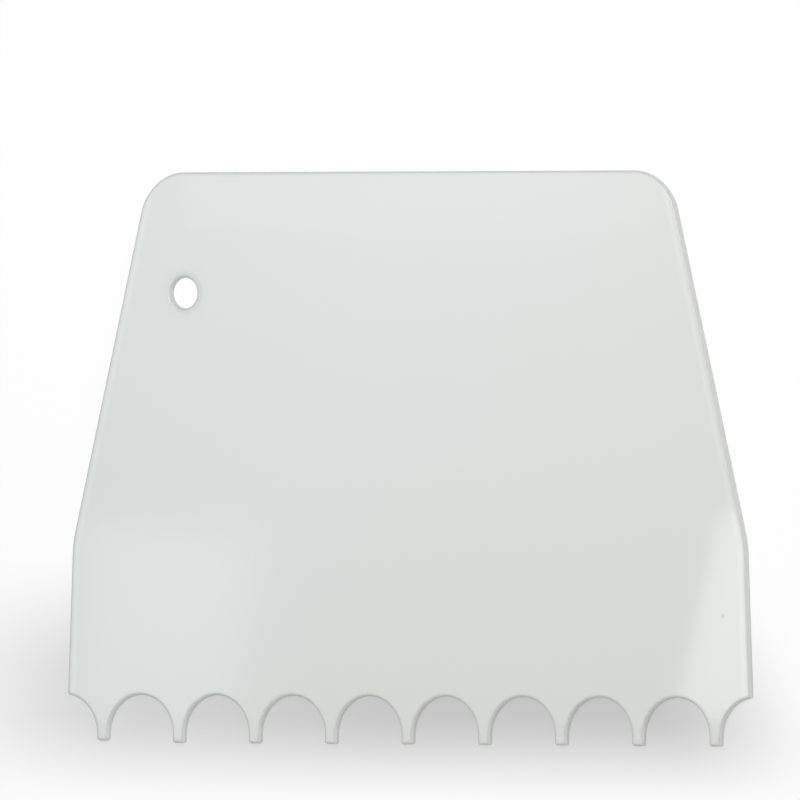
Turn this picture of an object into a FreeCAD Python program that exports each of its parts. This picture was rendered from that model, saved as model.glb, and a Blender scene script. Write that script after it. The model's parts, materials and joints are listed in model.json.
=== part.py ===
import FreeCAD, Part
import math
import os
import Sketcher
from FreeCAD import Vector

# Toothed dough scraper: one flat moulded plate that lies on its back.
# X runs along the comb, +Y points from the comb to the straight top edge, and Z is the thickness.
# The origin is under the middle of the plate, on the surface that it lies on.
# The upper face has rounded rims. The back is the flat of the mould, with crisp rims.

doc = FreeCAD.newDocument("dough_scraper")

# Driving dimensions, in millimetres.
sizes = doc.addObject("Spreadsheet::Sheet", "sizes")
driving_sizes = [
    ("plate_width", "135", "across the two feet, where the plate is widest"),
    ("plate_height", "95", "from the tooth tips to the straight top edge"),
    ("thickness", "1", "thickness of the plate"),
    ("top_width", "102.4", "top edge, out to where it would meet the slanted sides"),
    ("knee_height", "33.4", "height of the knee in each side above the tooth tips"),
    ("side_flare", "1", "how far each side runs out from its knee to its foot"),
    ("top_corner_radius", "8.5", "rounding of the two upper corners"),
    ("knee_radius", "15", "rounding of the knee in each side"),
    ("foot_radius", "0.5", "rounding of the two lower corners beside the comb"),
    ("tooth_count", "9", "number of teeth"),
    ("tooth_width", "2.3", "width of a tooth across its straight flanks"),
    ("gap_depth", "8", "from the tooth tips to the round root of a gap"),
    ("gap_overhang", "0.6", "how far outside each foot the half gap there is centred"),
    ("tip_radius", "0.5", "rounding of the corners of a tooth tip"),
    ("hole_diameter", "5.1", "hanging hole"),
    ("hole_from_top", "20.1", "centre of the hole below the top edge"),
    ("hole_from_side", "11.9", "centre of the hole from the slanted left side, along X"),
    ("hole_rim_radius", "0.6", "rounding of the upper rim of the hanging hole"),
    ("rim_radius", "0.4", "rounding of the upper rim all round the outline and the comb"),
]
for row, (alias, value, meaning) in enumerate(driving_sizes, start=1):
    sizes.set(f"A{row}", alias.replace("_", " "))
    sizes.set(f"B{row}", value)
    sizes.setAlias(f"B{row}", alias)
    sizes.set(f"C{row}", meaning)
doc.recompute()

# Lengths that follow from the driving dimensions. The teeth share out the width of the plate, and
# the comb ends in half a gap at each foot. The feet are level with the roots of the gaps.
half_height = "sizes.plate_height / 2"
half_width = "sizes.plate_width / 2"
knee_width = "(sizes.plate_width - 2 * sizes.side_flare)"
root_drop = "(sizes.plate_height / 2 - sizes.gap_depth)"
comb_width = "(sizes.plate_width + 2 * sizes.gap_overhang)"
tooth_pitch = f"{comb_width} / sizes.tooth_count"
gap_radius = f"({tooth_pitch} - sizes.tooth_width) / 2"

plate = doc.addObject("PartDesign::Body", "scraper_plate")
plate.Label = "scraper_plate"

# How a sketch numbers the spots on a curve, its own origin and its upright axis.
start, end, centre = 1, 2, 3
origin = (-1, 1)
upright_axis = -2

# Two places closer than this are the same place.
near = 0.001


def worth(rule):
    """Present value of a rule, in millimetres."""
    return float(plate.evalExpression(rule))


def new_sketch(name):
    """A sketch on the face that the plate lies on."""
    sketch = plate.newObject("Sketcher::SketchObject", name)
    ground = next(item for item in plate.Origin.OriginFeatures if item.Role == "XY_Plane")
    sketch.AttachmentSupport = [(ground, "")]
    sketch.MapMode = "FlatFace"
    return sketch


def draw_line(sketch, from_point, to_point, construction=False):
    """Straight line between two points given as (x, y). Returns its number in the sketch."""
    return sketch.addGeometry(Part.LineSegment(Vector(*from_point), Vector(*to_point)), construction)


def relate(sketch, kind, *where):
    """Geometric relation in a sketch, such as a shared corner or a tangency."""
    sketch.addConstraint(Sketcher.Constraint(kind, *where))


def dimension(sketch, name, kind, where, rule):
    """Named dimension of a sketch, tied to the driving dimensions by its rule."""
    index = sketch.addConstraint(Sketcher.Constraint(kind, *where, worth(rule)))
    sketch.renameConstraint(index, name)
    sketch.setExpression(f"Constraints.{name}", rule)


def draw_outline():
    """Outline of the plate before its comb is cut: slanted sides with a knee, and a flared foot."""
    sketch = new_sketch("outline")
    top_y = worth(half_height)
    knee_y = worth(f"sizes.knee_height - {half_height}")
    top_x = worth("sizes.top_width / 2")
    knee_x = worth(f"{knee_width} / 2")
    foot_x = worth(half_width)
    corners = [
        (-top_x, top_y),
        (top_x, top_y),
        (knee_x, knee_y),
        (foot_x, -top_y),
        (-foot_x, -top_y),
        (-knee_x, knee_y),
    ]
    lines = [
        draw_line(sketch, here, there) for here, there in zip(corners, corners[1:] + corners[:1])
    ]
    for line, following in zip(lines, lines[1:] + lines[:1]):
        relate(sketch, "Coincident", line, end, following, start)
    top, right_slant, right_side, bottom, left_side, left_slant = lines
    right_knee, right_corner = round_knee(sketch, right_slant)
    left_knee, left_corner = round_knee(sketch, left_side)
    relate(sketch, "Symmetric", top, start, top, end, upright_axis)
    relate(sketch, "Symmetric", left_corner, start, right_corner, start, upright_axis)
    relate(sketch, "Symmetric", bottom, end, bottom, start, upright_axis)
    relate(sketch, "Equal", left_knee, right_knee)
    foot = sketch.addGeometry(Part.Point(Vector(foot_x, -worth(root_drop))), True)
    relate(sketch, "PointOnObject", foot, start, right_side)

    dimension(sketch, "top_width", "DistanceX", (top, start, top, end), "sizes.top_width")
    dimension(sketch, "top_level", "DistanceY", (*origin, top, start), half_height)
    dimension(sketch, "tip_level", "DistanceY", (bottom, start, *origin), half_height)
    dimension(
        sketch, "knee_width", "DistanceX", (left_corner, start, right_corner, start), knee_width
    )
    dimension(
        sketch, "knee_height", "DistanceY", (bottom, start, right_corner, start), "sizes.knee_height"
    )
    dimension(sketch, "knee_radius", "Radius", (right_knee,), "sizes.knee_radius")
    dimension(sketch, "half_width", "DistanceX", (*origin, foot, start), half_width)
    dimension(sketch, "root_drop", "DistanceY", (foot, start, *origin), root_drop)
    draw_hanging_hole(sketch, top, left_slant)
    return sketch


def round_knee(sketch, side):
    """Rounds the knee at the end of a side's line, and keeps its sharp corner as a point.
    Returns the numbers of the arc and of the corner."""
    arc = sketch.GeometryCount
    corner = arc + 1
    sketch.fillet(side, end, worth("sizes.knee_radius"), True, True)
    return arc, corner


def draw_hanging_hole(sketch, top, left_slant):
    """Hanging hole in the outline, set in from the top edge and from the slanted left side."""
    hole_y = worth(f"{half_height} - sizes.hole_from_top")
    side_x = -worth("sizes.top_width / 2")
    hole_x = side_x + worth("sizes.hole_from_side")
    circle = Part.Circle(Vector(hole_x, hole_y), Vector(0, 0, 1), worth("sizes.hole_diameter / 2"))
    hole = sketch.addGeometry(circle)
    reach = draw_line(sketch, (side_x, hole_y), (hole_x, hole_y), construction=True)
    relate(sketch, "PointOnObject", reach, start, left_slant)
    relate(sketch, "Coincident", reach, end, hole, centre)
    relate(sketch, "Horizontal", reach)
    dimension(sketch, "hole_diameter", "Diameter", (hole,), "sizes.hole_diameter")
    dimension(
        sketch, "hole_from_top", "DistanceY", (hole, centre, top, start), "sizes.hole_from_top"
    )
    dimension(
        sketch, "hole_from_side", "DistanceX", (reach, start, reach, end), "sizes.hole_from_side"
    )


def draw_gap():
    """The first gap of the comb, just outside the left foot: a round root with straight flanks.
    Its mouth opens past the tooth tips, by the radius of the root."""
    sketch = new_sketch("gap_outline")
    radius = worth(gap_radius)
    middle_x = -worth(f"{comb_width} / 2")
    left_x, right_x = middle_x - radius, middle_x + radius
    middle_y = -worth(f"{root_drop} + {gap_radius}")
    mouth_y = -worth(f"{half_height} + {gap_radius}")
    circle = Part.Circle(Vector(middle_x, middle_y), Vector(0, 0, 1), radius)
    root = sketch.addGeometry(Part.ArcOfCircle(circle, 0, math.pi))
    right_flank = draw_line(sketch, (right_x, middle_y), (right_x, mouth_y))
    mouth = draw_line(sketch, (right_x, mouth_y), (left_x, mouth_y))
    left_flank = draw_line(sketch, (left_x, mouth_y), (left_x, middle_y))
    relate(sketch, "Tangent", root, start, right_flank, start)
    relate(sketch, "Coincident", right_flank, end, mouth, start)
    relate(sketch, "Coincident", mouth, end, left_flank, start)
    relate(sketch, "Tangent", left_flank, end, root, end)
    relate(sketch, "Vertical", right_flank)
    relate(sketch, "Vertical", left_flank)
    relate(sketch, "Horizontal", mouth)
    dimension(sketch, "gap_radius", "Radius", (root,), gap_radius)
    dimension(sketch, "half_comb", "DistanceX", (root, centre, *origin), f"{comb_width} / 2")
    dimension(
        sketch, "middle_drop", "DistanceY", (root, centre, *origin), f"{root_drop} + {gap_radius}"
    )
    dimension(
        sketch, "mouth_drop", "DistanceY", (mouth, start, *origin), f"{half_height} + {gap_radius}"
    )
    return sketch


def is_upright(edge):
    """True for a straight edge that runs from one face of the plate to the other."""
    box = edge.BoundBox
    return box.XLength < near and box.YLength < near


def is_upper(edge):
    """True for an edge that lies in the upper face."""
    return edge.BoundBox.ZMin > worth("sizes.thickness") - near


def is_hole_rim(edge):
    """True for the upper rim of the hanging hole, the one closed edge of the upper face."""
    return is_upper(edge) and edge.isClosed()


def is_outer_rim(edge):
    """True for an edge of the upper face that runs round the outline or the comb."""
    return is_upper(edge) and not edge.isClosed()


def upright_at(level):
    """Test for the upright edges at this level in Y, given as a rule."""
    return lambda edge: is_upright(edge) and abs(edge.CenterOfMass.y - worth(level)) < near


def is_foot(edge):
    """True for the upright edge of a foot, outside the outermost tooth and no higher than a root."""
    spot = edge.CenterOfMass
    beside_comb = abs(spot.x) > worth(f"{comb_width} / 2 - {gap_radius}") + near
    return is_upright(edge) and beside_comb and spot.y < near - worth(root_drop)


def round_edges(name, wanted, radius):
    """Rounds the edges of the plate that the test picks."""
    base = plate.Tip
    picked = [f"Edge{n}" for n, edge in enumerate(base.Shape.Edges, start=1) if wanted(edge)]
    rounding = plate.newObject("PartDesign::Fillet", name)
    rounding.Base = (base, picked)
    rounding.setExpression("Radius", radius)
    settle(rounding, base)


def settle(feature, base=None):
    """Recomputes, and stops if the feature failed or changed nothing."""
    plate.Tip = feature
    doc.recompute()
    if "Invalid" in feature.State or "Error" in feature.State:
        raise RuntimeError(f"{feature.Name} failed")
    if base is not None and abs(feature.Shape.Volume - base.Shape.Volume) < near:
        raise RuntimeError(f"{feature.Name} changed nothing")


blank = plate.newObject("PartDesign::Pad", "blank")
blank.Profile = draw_outline()
blank.setExpression("Length", "sizes.thickness")
settle(blank)

round_edges("top_corners", upright_at(half_height), "sizes.top_corner_radius")

# The comb: one gap cut at the left foot, repeated at the pitch out to the right foot.
uncut = plate.Tip
gap_outline = draw_gap()
gap = plate.newObject("PartDesign::Pocket", "gap")
gap.Profile = gap_outline
gap.Type = "ThroughAll"
gap.Reversed = True
settle(gap, uncut)

comb = plate.newObject("PartDesign::LinearPattern", "comb")
comb.Originals = [gap]
comb.Direction = (gap_outline, ["H_Axis"])
comb.Mode = "Spacing"
comb.setExpression("Offset", tooth_pitch)
comb.setExpression("Occurrences", "sizes.tooth_count + 1")
settle(comb, gap)

round_edges("tooth_tips", upright_at(f"-{half_height}"), "sizes.tip_radius")
round_edges("feet", is_foot, "sizes.foot_radius")
round_edges("outer_rim", is_outer_rim, "sizes.rim_radius")
round_edges("hole_rim", is_hole_rim, "sizes.hole_rim_radius")

for item in doc.Objects:
    if "Invalid" in item.State or "Error" in item.State:
        raise RuntimeError(f"{item.Name} failed")
    if item.TypeId == "Sketcher::SketchObject" and not item.FullyConstrained:
        raise RuntimeError(f"{item.Name} is not fully constrained")
if plate.Shape.isNull() or not plate.Shape.isValid() or len(plate.Shape.Solids) != 1:
    raise RuntimeError("the plate is not one valid solid")

os.makedirs("parts", exist_ok=True)
plate.Shape.exportStep(f"parts/{plate.Label}.step")
box = plate.Shape.BoundBox
print(f"{plate.Label}: {box.XLength:.3f} x {box.YLength:.3f} x {box.ZLength:.3f} mm")
print(f"volume {plate.Shape.Volume:.1f} mm3, faces {len(plate.Shape.Faces)}")
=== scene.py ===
import json
from math import acos, cos, pi, radians, sin, sqrt, tan

import bmesh
import bpy
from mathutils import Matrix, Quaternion, Vector


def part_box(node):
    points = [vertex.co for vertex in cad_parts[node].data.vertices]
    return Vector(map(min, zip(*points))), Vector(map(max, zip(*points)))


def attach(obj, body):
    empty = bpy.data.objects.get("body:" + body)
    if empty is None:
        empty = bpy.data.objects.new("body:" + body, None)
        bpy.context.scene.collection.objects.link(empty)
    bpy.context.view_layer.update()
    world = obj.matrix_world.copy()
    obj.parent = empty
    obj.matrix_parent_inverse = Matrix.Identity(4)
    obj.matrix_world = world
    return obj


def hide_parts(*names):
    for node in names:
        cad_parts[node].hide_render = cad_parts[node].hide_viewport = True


# A toothed dough scraper, lying on a white table and seen from above.
# Metres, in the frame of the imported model: X along the comb, +Y from the comb to the top edge.

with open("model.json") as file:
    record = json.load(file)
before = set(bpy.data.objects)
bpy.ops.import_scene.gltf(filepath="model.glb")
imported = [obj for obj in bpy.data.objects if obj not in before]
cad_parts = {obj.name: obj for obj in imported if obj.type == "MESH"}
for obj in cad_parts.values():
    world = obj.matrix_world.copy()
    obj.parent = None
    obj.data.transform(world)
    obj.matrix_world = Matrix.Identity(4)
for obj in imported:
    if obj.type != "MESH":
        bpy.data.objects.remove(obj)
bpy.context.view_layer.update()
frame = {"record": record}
plateLow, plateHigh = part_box("scraper_plate")
record = frame["record"]
hangingHole = next(mount for mount in record["mounts"] if mount["name"] == "hanging_hole")
combGaps = [item["box_m"] for item in record["physics"]["openings"]]


def addNode(tree, kind, inputs=None, **settings):
    # an input is a plain value or the output that feeds it
    node = tree.nodes.new(kind)
    for name, value in settings.items():
        setattr(node, name, value)
    for name, value in (inputs or {}).items():
        if isinstance(value, bpy.types.NodeSocket):
            tree.links.new(value, node.inputs[name])
        else:
            node.inputs[name].default_value = value
    return node


def mathNode(tree, operation, *inputs):
    node = addNode(tree, "ShaderNodeMath", dict(enumerate(inputs)), operation=operation)
    return node.outputs["Value"]


def vectorNode(tree, operation, inputs, output="Vector"):
    return addNode(tree, "ShaderNodeVectorMath", inputs, operation=operation).outputs[output]


def softEdge(tree, value, outside, inside, least=0.0):
    # goes softly from least to 1 as the value goes from outside to inside
    edge = addNode(
        tree, "ShaderNodeMapRange",
        {"Value": value, "From Min": outside, "From Max": inside, "To Min": least},
        interpolation_type="SMOOTHSTEP",
    )
    return edge.outputs["Result"]


def tintBy(tree, colour, factor, tone):
    # the colour times a grey that goes from 1 to tone as the factor goes from 0 to 1
    grey = addNode(tree, "ShaderNodeMapRange", {"Value": factor, "To Min": 1.0, "To Max": tone})
    return vectorNode(tree, "SCALE", {"Vector": colour, "Scale": grey.outputs["Result"]})


# The plate

plateShape = {
    "topWidth": 0.1024,  # out to where the top edge would meet the slanted sides
    "topCorner": 0.0085,
    "kneeHeight": 0.0334,  # above the tooth tips
    "kneeRadius": 0.015,
    "sideFlare": 0.001,  # how far a side runs out from its knee to its foot
    "footRadius": 0.0005,
    "footRoom": 0.0006,  # an arc of the comb starts this far from its foot
    "toothWidth": 0.0023,
    "gapDepth": 0.008,
    "gapOverhang": 0.0006,  # the comb ends in half gaps, centred this far outside the feet
    "tipRadius": 0.0005,
    "wornShorter": 0.0003,  # the tooth next to the left foot is shorter and rounder
    "wornTipRadius": 0.0007,
    "rimRadius": 0.0004,
    "holeRimRadius": 0.0006,
    "holeReach": 0.005,  # the face is cut this far out round the hole
    "holeInset": 0.05,  # share of the way to the hole that its square is first inset by
    "borderWidth": 0.0008,  # how far in the distance from the outline is known
    "mergeDistance": 0.0004,  # points of the border closer than this become one
    "crispAngle": radians(60),  # edges that are rims
    "smoothAngle": radians(50),  # edges that are shaded smoothly
    "arcSteps": 32,  # in the half circle of a gap
    "kneeSteps": 7,
    "topSteps": 14,
    "tipSteps": 4,
    "wornTipSteps": 6,
    "rimSteps": 5,
    "holeSteps": 48,
}


def drawOutline(bm, shape):
    pitch = combGaps[1][0][0] - combGaps[0][0][0]
    radius = (pitch - shape["toothWidth"]) / 2
    tipY, topY = plateLow.y, plateHigh.y
    centreY = tipY + shape["gapDepth"] - radius
    combHalf = pitch * (len(combGaps) + 1) / 2
    footX = combHalf - shape["gapOverhang"]
    footAngle = acos(-shape["gapOverhang"] / radius)  # where a foot cuts its half gap
    footY = centreY + radius * sin(footAngle)
    arcStart = footAngle + shape["footRoom"] / radius
    corners = {"tips": [], "wornTips": [], "feet": [], "knees": [], "tops": []}
    chain = []

    def lineTo(x, y, kind=None):
        vert = bm.verts.new((x, y, 0))
        if chain:
            bm.edges.new((chain[-1], vert))
        chain.append(vert)
        if kind:
            corners[kind].append(vert)

    # from the right foot to the left one, gap by gap, with a tooth after each gap but the last
    lineTo(footX, footY, "feet")
    for n in range(len(combGaps) + 2):
        middle = Vector((combHalf - n * pitch, centreY, 0))
        first = arcStart if n == 0 else 0
        last = pi - arcStart if n == len(combGaps) + 1 else pi
        lineTo(middle.x + radius * cos(first), centreY + radius * sin(first))
        arc = bmesh.ops.spin(
            bm, geom=chain[-1:], cent=middle, axis=(0, 0, 1), angle=last - first,
            steps=round(shape["arcSteps"] * (last - first) / pi),
        )
        chain += [item for item in arc["geom_last"] if isinstance(item, bmesh.types.BMVert)]
        if n <= len(combGaps):
            worn = n == len(combGaps)
            toothY = tipY + shape["wornShorter"] if worn else tipY
            toothX = middle.x - radius
            for x in (toothX, toothX - shape["toothWidth"]):
                lineTo(x, toothY, "wornTips" if worn else "tips")
    lineTo(-footX, footY, "feet")

    # up the left side, along the top and down the right side
    kneeX = footX - shape["sideFlare"]
    kneeY = tipY + shape["kneeHeight"]
    lineTo(-kneeX, kneeY, "knees")
    lineTo(-shape["topWidth"] / 2, topY, "tops")
    lineTo(shape["topWidth"] / 2, topY, "tops")
    lineTo(kneeX, kneeY, "knees")
    bm.edges.new((chain[-1], chain[0]))
    bmesh.ops.edgeloop_fill(bm, edges=bm.edges)
    return corners


def roundCorner(bm, vert, radius, steps):
    # the corner is cut back to where an arc of this radius touches both edges
    towards = [edge.other_vert(vert).co - vert.co for edge in vert.link_edges]
    cutBack = radius / tan(towards[0].angle(towards[1]) / 2)
    bmesh.ops.bevel(
        bm, geom=[vert], offset=cutBack, offset_type="OFFSET", segments=steps, profile=0.5,
        affect="VERTICES", material=-1, clamp_overlap=False,
    )


def cutHole(bm, centre, radius, shape):
    # a square is cut out round the hole, and a ring inside it is drawn to the hole's circle
    reach = shape["holeReach"]

    def cut(faces, place, across):
        parts = {part for face in faces for part in (face, *face.edges, *face.verts)}
        bmesh.ops.bisect_plane(bm, geom=list(parts), plane_co=place, plane_no=across)

    for side in (-1, 1):
        cut(bm.faces, centre + Vector((0, side * reach, 0)), (0, 1, 0))
    for side in (-1, 1):
        level = [f for f in bm.faces if abs(f.calc_center_median().y - centre.y) < reach]
        cut(level, centre + Vector((side * reach, 0, 0)), (1, 0, 0))
    square = min(bm.faces, key=lambda face: (face.calc_center_median() - centre).length)
    outer = list(square.edges)
    bmesh.ops.delete(bm, geom=[square], context="FACES_ONLY")
    cuts = shape["holeSteps"] // len(outer) - 1
    split = bmesh.ops.subdivide_edges(bm, edges=outer, cuts=cuts)["geom_split"]
    outer = [part for part in split if isinstance(part, bmesh.types.BMEdge)]
    square = bmesh.ops.edgeloop_fill(bm, edges=outer)["faces"][0]
    inset = (reach - radius) * shape["holeInset"]
    bmesh.ops.inset_region(bm, faces=[square], thickness=inset, use_boundary=True)
    for vert in square.verts:
        vert.co = centre + radius * (vert.co - centre).normalized()
    bmesh.ops.delete(bm, geom=[square], context="FACES_ONLY")


def makePlate(shape):
    bm = bmesh.new()
    fromOutline = bm.verts.layers.float.new("fromOutline")
    corners = drawOutline(bm, shape)
    for kind, radius, steps in (
        ("tips", shape["tipRadius"], shape["tipSteps"]),
        ("wornTips", shape["wornTipRadius"], shape["wornTipSteps"]),
        ("feet", shape["footRadius"], shape["tipSteps"]),
        ("knees", shape["kneeRadius"], shape["kneeSteps"]),
        ("tops", shape["topCorner"], shape["topSteps"]),
    ):
        for vert in corners[kind]:
            roundCorner(bm, vert, radius, steps)

    # a border inside the outline, whose few crossed corners at the tips and feet are merged
    border = shape["borderWidth"]
    bmesh.ops.inset_region(
        bm, faces=bm.faces[:], thickness=border, use_boundary=True, use_even_offset=True
    )
    face = max(bm.faces, key=lambda f: f.calc_area())
    bmesh.ops.remove_doubles(bm, verts=face.verts[:], dist=shape["mergeDistance"])

    holeX, holeY, _ = hangingHole["pos_m"]
    holeCentre = Vector((holeX, holeY, 0))
    holeRadius = hangingHole["dims"]["r_mm"] / 1000
    cutHole(bm, holeCentre, holeRadius, shape)

    # thickness
    thickness = plateHigh.z - plateLow.z
    raised = bmesh.ops.extrude_face_region(bm, geom=bm.faces[:])["geom"]
    lifted = [item for item in raised if isinstance(item, bmesh.types.BMVert)]
    bmesh.ops.translate(bm, verts=lifted, vec=(0, 0, thickness))
    bmesh.ops.recalc_face_normals(bm, faces=bm.faces)

    # upper rims
    def atHole(vert):
        return (vert.co.xy - holeCentre.xy).length < (holeRadius + shape["holeReach"]) / 2

    bm.normal_update()
    crisp = [edge for edge in bm.edges if edge.calc_face_angle(0) > shape["crispAngle"]]
    upper = [edge for edge in crisp if edge.verts[0].co.z > thickness / 2]
    outerRim = [edge for edge in upper if not atHole(edge.verts[0])]
    holeRim = [edge for edge in upper if atHole(edge.verts[0])]
    backRim = {vert for edge in crisp for vert in edge.verts if vert.co.z < thickness / 2}
    for vert in bm.verts:
        vert[fromOutline] = 0 if vert in backRim else border
    rounding = {
        "offset_type": "OFFSET", "segments": shape["rimSteps"], "profile": 0.5,
        "affect": "EDGES", "material": -1, "clamp_overlap": False,
    }
    # each point of a rim knows how far it is from the wall below it, seen from above
    for edges, radius in ((holeRim, shape["holeRimRadius"]), (outerRim, shape["rimRadius"])):
        for vert in bmesh.ops.bevel(bm, geom=edges, offset=radius, **rounding)["verts"]:
            rise = max(vert.co.z - thickness + radius, 0)
            vert[fromOutline] = radius - sqrt(max(radius ** 2 - rise ** 2, 0))

    for edge in bm.edges:
        edge.smooth = edge.calc_face_angle(0) < shape["smoothAngle"]
    for face in bm.faces:
        face.smooth = True
    mesh = bpy.data.meshes.new("scraperFace")
    bm.to_mesh(mesh)
    bm.free()
    plate = bpy.data.objects.new("mouldedPlate", mesh)
    bpy.context.scene.collection.objects.link(plate)
    evenNormals = plate.modifiers.new("evenNormals", "WEIGHTED_NORMAL")
    evenNormals.weight = 100  # large faces only
    evenNormals.keep_sharp = True
    return plate


plate = makePlate(plateShape)
print("plate", len(plate.data.polygons), "faces")


# Milky plastic

plasticLook = {
    "cool": (0.723, 0.747, 0.739),
    "warm": (0.721, 0.735, 0.716),
    "driftAlong": (1.0, -0.9, 0.0),  # cool at the left and the top, warm towards the right foot
    "driftSpan": (-0.030, 0.035),
    "driftNoise": 0.04,
    "clouds": {"scale": 40, "detail": 1},
    "shader": {
        "IOR": 1.49,
        "Subsurface Weight": 0.2,
        "Subsurface Radius": (1.0, 1.0, 1.0),
        "Subsurface Scale": 0.0008,
    },
    "waves": {"scale": 60, "detail": 1, "strength": 0.05, "height": 0.0004},
    "grain": {"scale": 2600, "detail": 3, "strength": 0.06, "height": 0.00002},
    "grainSpan": (0.3, 0.7),
    "roughness": (0.19, 0.26),  # from one end of the grain's span to the other
    # painted shade along the outline, darkest where the rims turn over and a little less on the
    # walls: (distance from the outline, how much of the colour is left there)
    "paintedRimShade": (
        (0.0, 0.85), (0.00003, 0.84), (0.00008, 0.76), (0.00026, 0.78), (0.00038, 0.88),
        (0.00052, 0.96), (0.0008, 1.0),
    ),
    "stripAt": 0.0012,  # a painted highlight, a paler strip, runs this far inside the slanted and lower sides
    "stripWidth": 0.0014,
    "paintedHighlightTone": 1.042,
    "holeRing": (0.0029, 0.0039),  # a ring of painted shade round the hole, out to here, off centre by the shift below
    "holeRingShift": (0.0004, 0.0001, 0),
    "holeShadeTone": 0.92,
    "fleckAt": (0.0621, -0.0260, 0.0),  # one dark fleck in the plastic
    "fleckSize": 0.0006,
    "fleckTone": 0.79,
}


def noiseNode(tree, place, layer):
    inputs = {"Vector": place, "Scale": layer["scale"], "Detail": layer["detail"]}
    return addNode(tree, "ShaderNodeTexNoise", inputs).outputs["Fac"]


def borderShade(tree, distance, stops, width):
    # a smooth ramp over the border, through the stops
    ramp = addNode(tree, "ShaderNodeValToRGB", {"Fac": mathNode(tree, "DIVIDE", distance, width)})
    ramp.color_ramp.interpolation = "EASE"
    elements = ramp.color_ramp.elements
    while len(elements) < len(stops):
        elements.new(0.5)  # all are placed below
    for element, (reach, grey) in zip(elements, stops):
        element.position = reach / width
        element.color = (grey, grey, grey, 1)
    return ramp.outputs["Color"]


def sideDistance(tree, place, top, bottom):
    # how far a point is from the side that runs from top to bottom, on either half of the plate
    run = Vector(bottom) - Vector(top)
    inward = Vector((run.y, -run.x)).normalized()
    axes = addNode(tree, "ShaderNodeSeparateXYZ", {"Vector": place})
    across = mathNode(tree, "ABSOLUTE", axes.outputs["X"])
    folded = addNode(tree, "ShaderNodeCombineXYZ", {"X": across, "Y": axes.outputs["Y"]})
    along = vectorNode(tree, "DOT_PRODUCT", {0: folded.outputs["Vector"], 1: (*inward, 0)}, "Value")
    return mathNode(tree, "SUBTRACT", along, inward.dot(Vector(top)))


def makeMilkyPlastic(look, shape):
    material = bpy.data.materials.new("milkyPlastic")
    material.use_nodes = True
    tree = material.node_tree
    shader = tree.nodes["Principled BSDF"]
    for name, value in look["shader"].items():
        shader.inputs[name].default_value = value
    place = addNode(tree, "ShaderNodeTexCoord").outputs["Object"]

    # slow drift from a cool to a warm white
    along = vectorNode(tree, "DOT_PRODUCT", {0: place, 1: look["driftAlong"]}, "Value")
    clouds = noiseNode(tree, place, look["clouds"])
    drift = mathNode(tree, "MULTIPLY_ADD", clouds, look["driftNoise"], along)
    start, end = (bound + look["driftNoise"] / 2 for bound in look["driftSpan"])
    spread = addNode(
        tree, "ShaderNodeMapRange", {"Value": drift, "From Min": start, "From Max": end}
    )
    tint = addNode(
        tree, "ShaderNodeMix",
        {"Factor": spread.outputs["Result"], "A": (*look["cool"], 1), "B": (*look["warm"], 1)},
        data_type="RGBA",
    )

    # painted shade: the border along the outline is darkened, a little less on the walls, to stand
    # in for the rims' shading
    outline = addNode(tree, "ShaderNodeAttribute", attribute_name="fromOutline").outputs["Fac"]
    tone = borderShade(tree, outline, look["paintedRimShade"], shape["borderWidth"])
    colour = vectorNode(tree, "SCALE", {"Vector": tint.outputs["Result"], "Scale": tone})

    # painted highlight: a paler strip just inside the sides
    knee = (plateHigh.x - shape["sideFlare"], plateLow.y + shape["kneeHeight"])
    foot = (plateHigh.x, plateLow.y + shape["gapDepth"])
    corner = (shape["topWidth"] / 2, plateHigh.y)
    slant = sideDistance(tree, place, corner, knee)
    lower = sideDistance(tree, place, knee, foot)
    nearest = mathNode(tree, "MINIMUM", slant, lower)
    away = mathNode(tree, "ABSOLUTE", mathNode(tree, "SUBTRACT", nearest, look["stripAt"]))
    strip = softEdge(tree, away, look["stripWidth"] / 2, 0)
    colour = tintBy(tree, colour, strip, look["paintedHighlightTone"])

    # a soft ring of painted shade round the hole, and the fleck
    flat = vectorNode(tree, "MULTIPLY", {0: place, 1: (1, 1, 0)})
    ringCentre = Vector(hangingHole["pos_m"]) + Vector(look["holeRingShift"])
    for centre, (inner, outer), shade in (
        (ringCentre, look["holeRing"], look["holeShadeTone"]),
        (look["fleckAt"], (0, look["fleckSize"]), look["fleckTone"]),
    ):
        away = vectorNode(tree, "DISTANCE", {0: flat, 1: (centre[0], centre[1], 0)}, "Value")
        colour = tintBy(tree, colour, softEdge(tree, away, outer, inner), shade)
    tree.links.new(colour, shader.inputs["Base Color"])

    # satin finish: broad, faint waves of the mould and a fine grain
    waves = noiseNode(tree, place, look["waves"])
    grain = noiseNode(tree, place, look["grain"])
    under = {}
    for noise, layer in ((waves, look["waves"]), (grain, look["grain"])):
        bump = {"Height": noise, "Strength": layer["strength"], "Distance": layer["height"]}
        under = {"Normal": addNode(tree, "ShaderNodeBump", {**bump, **under}).outputs["Normal"]}
    tree.links.new(under["Normal"], shader.inputs["Normal"])
    spans = {
        "From Min": look["grainSpan"][0], "From Max": look["grainSpan"][1],
        "To Min": look["roughness"][0], "To Max": look["roughness"][1],
    }
    polish = addNode(tree, "ShaderNodeMapRange", {"Value": grain, **spans})
    tree.links.new(polish.outputs["Result"], shader.inputs["Roughness"])
    return material


plate.data.materials.append(makeMilkyPlastic(plasticLook, plateShape))
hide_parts("scraper_plate")
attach(plate, "root")
print("milky plastic")


# Table, light and camera

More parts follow.
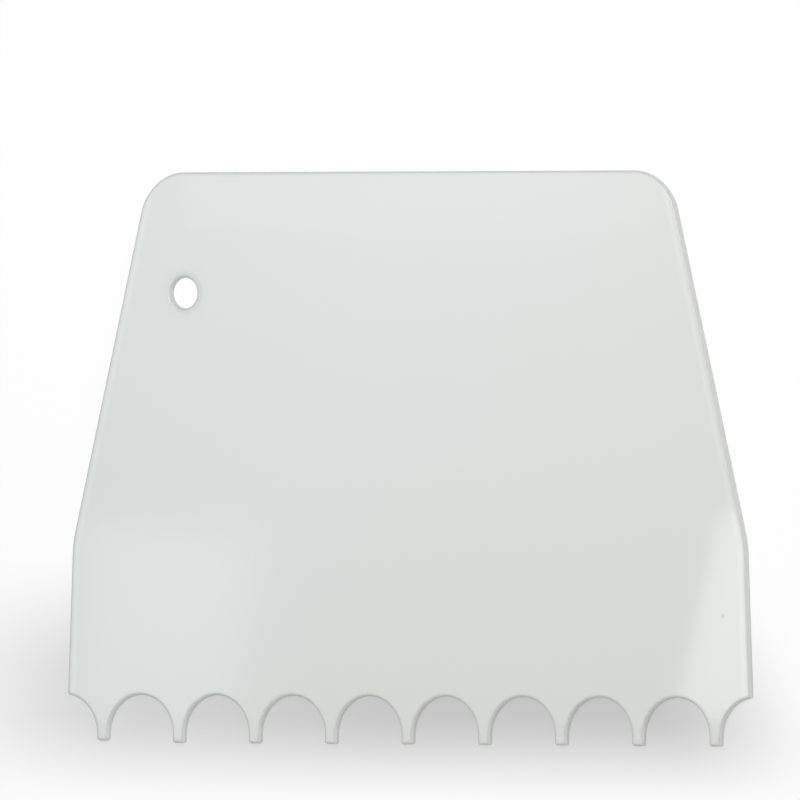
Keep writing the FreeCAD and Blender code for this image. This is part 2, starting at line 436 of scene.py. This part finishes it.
tableLook = {
    "size": 8.0,
    "drop": 0.00002,  # the table's top is a hair below the plate's back
    "white": 0.96,
    "glow": 0.87,  # share of its white that the camera sees whatever the light
    # a soft painted shadow lies on the table along the comb: how dark it is, and where each side of
    # it fades
    "shade": 0.422,
    "paintedShadowEdges": (
        {"along": (0, 1, 0), "outside": -0.0595, "inside": -0.0410},
        {"along": (0, 1, 0), "outside": -0.0130, "inside": -0.0385},
        {"along": (1, 0, 0), "outside": -0.1100, "inside": -0.0500},
        {"along": (1, 0.5, 0), "outside": 0.0630, "inside": 0.0255},
        {"along": (1, 0, 0), "outside": -0.0600, "inside": 0.0050, "least": 0.80},
    ),
}


def seenDirectly(tree, share):
    # this share for rays from the camera, from a mirror or through glass, and none for the rest
    path = addNode(tree, "ShaderNodeLightPath").outputs
    either = mathNode(tree, "MAXIMUM", path["Is Camera Ray"], path["Is Glossy Ray"])
    direct = mathNode(tree, "MAXIMUM", either, path["Is Transmission Ray"])
    return mathNode(tree, "MULTIPLY", direct, share)


def makeTable(look):
    bm = bmesh.new()
    bmesh.ops.create_grid(bm, x_segments=1, y_segments=1, size=look["size"])
    bmesh.ops.translate(bm, verts=bm.verts, vec=(0, 0, plateLow.z - look["drop"]))
    mesh = bpy.data.meshes.new("tableTop")
    bm.to_mesh(mesh)
    bm.free()
    table = bpy.data.objects.new("tableTop", mesh)
    bpy.context.scene.collection.objects.link(table)

    material = bpy.data.materials.new("whiteTable")
    material.use_nodes = True
    tree = material.node_tree
    tree.nodes.remove(tree.nodes["Principled BSDF"])
    place = addNode(tree, "ShaderNodeTexCoord").outputs["Object"]
    # painted shadow: the table's colour and its glow are darkened along the comb
    shade = 1.0
    for edge in look["paintedShadowEdges"]:
        along = vectorNode(tree, "DOT_PRODUCT", {0: place, 1: edge["along"]}, "Value")
        part = softEdge(tree, along, edge["outside"], edge["inside"], edge.get("least", 0.0))
        shade = mathNode(tree, "MULTIPLY", shade, part)
    lightness = mathNode(tree, "MULTIPLY_ADD", shade, -look["shade"], 1.0)
    paint = mathNode(tree, "MULTIPLY", lightness, look["white"])
    matt = addNode(tree, "ShaderNodeBsdfDiffuse", {"Color": paint}).outputs[0]
    glow = addNode(tree, "ShaderNodeEmission", {"Color": lightness}).outputs[0]
    share = seenDirectly(tree, look["glow"])
    mix = addNode(tree, "ShaderNodeMixShader", {0: share, 1: matt, 2: glow})
    tree.links.new(mix.outputs[0], tree.nodes["Material Output"].inputs["Surface"])
    mesh.materials.append(material)


cameraSetup = {
    "tilt": radians(33.06),  # the photograph is narrowed to this angle's cosine
    "lookAt": (-0.00192, 0.0096, 0.0),
    "lens": 1500,
    "frameHeight": 0.13260,  # what the picture's 800 pixels span, in metres
    "clip": (0.1, 20),
}


def makeCamera(setup):
    data = bpy.data.cameras.new("photoCamera")
    data.lens = setup["lens"]
    data.clip_start, data.clip_end = setup["clip"]
    camera = bpy.data.objects.new("photoCamera", data)
    bpy.context.scene.collection.objects.link(camera)
    away = setup["frameHeight"] * setup["lens"] / data.sensor_width
    direction = Vector((sin(setup["tilt"]), 0, cos(setup["tilt"])))
    camera.location = Vector(setup["lookAt"]) + away * direction
    camera.rotation_euler = (0, setup["tilt"], 0)
    bpy.context.scene.camera = camera


lightRig = {
    "roomLight": 0.40,
    "lamps": {
        "softbox": {"at": (0.005, 0.13, 0.29), "size": 0.18, "watts": 0.555},
        "sideLight": {"at": (1.2, 0.0, 0.30), "size": 1.0, "watts": 6.4},
        "frontLight": {"at": (-0.2, -1.2, 0.30), "size": 1.0, "watts": 2.2},
    },
    # panes that the camera sees mirrored in the plate: where, how large, and how far off they are
    "panes": {
        "rightPane": {"on": (0.0729, -0.0280), "size": (0.026, 0.034), "turn": radians(-12.5),
                      "distance": 0.03, "radiance": 0.26},
        "leftPane": {"on": (-0.0490, -0.0290), "size": (0.029, 0.034), "turn": radians(-6),
                     "distance": 0.055, "radiance": 0.15},
        "topPane": {"on": (0.0030, 0.0500), "size": (0.079, 0.024), "turn": 0,
                    "distance": 0.03, "radiance": 0.03},
    },
    "paneSpread": radians(50),
}


def addLamp(name, place, turn, watts):
    data = bpy.data.lights.new(name, "AREA")
    data.energy = watts
    lamp = bpy.data.objects.new(name, data)
    bpy.context.scene.collection.objects.link(lamp)
    lamp.location = place
    lamp.rotation_euler = turn.to_euler()
    lamp.visible_camera = False
    return lamp


def makeLights(rig):
    world = bpy.data.worlds.new("whiteRoom")
    bpy.context.scene.world = world
    world.use_nodes = True
    tree = world.node_tree
    tree.nodes.remove(tree.nodes["Background"])
    white = {"Color": (1, 1, 1, 1)}
    lit = addNode(tree, "ShaderNodeBackground", {**white, "Strength": rig["roomLight"]}).outputs[0]
    seen = addNode(tree, "ShaderNodeBackground", {**white, "Strength": 1.0}).outputs[0]
    mix = addNode(tree, "ShaderNodeMixShader", {0: seenDirectly(tree, 1.0), 1: lit, 2: seen})
    tree.links.new(mix.outputs[0], tree.nodes["World Output"].inputs["Surface"])

    for name, box in rig["lamps"].items():
        turn = Vector(box["at"]).to_track_quat("Z", "Y")
        lamp = addLamp(name, box["at"], turn, box["watts"])
        lamp.data.size = box["size"]

    # towards what the camera sees in the plate
    mirrored = Vector((-sin(cameraSetup["tilt"]), 0, cos(cameraSetup["tilt"])))
    for name, pane in rig["panes"].items():
        width, length = pane["size"]
        place = Vector((*pane["on"], plateHigh.z)) + pane["distance"] * mirrored
        turn = mirrored.to_track_quat("Z", "Y") @ Quaternion((0, 0, 1), pane["turn"] - pi / 2)
        lamp = addLamp(name, place, turn, pane["radiance"] * pi * width * length)
        lamp.data.shape = "RECTANGLE"
        lamp.data.size, lamp.data.size_y = width, length
        lamp.data.spread = rig["paneSpread"]
        lamp.visible_diffuse = False


makeTable(tableLook)
makeLights(lightRig)
makeCamera(cameraSetup)
bpy.context.scene.view_settings.view_transform = "Standard"
print("table, light and camera")
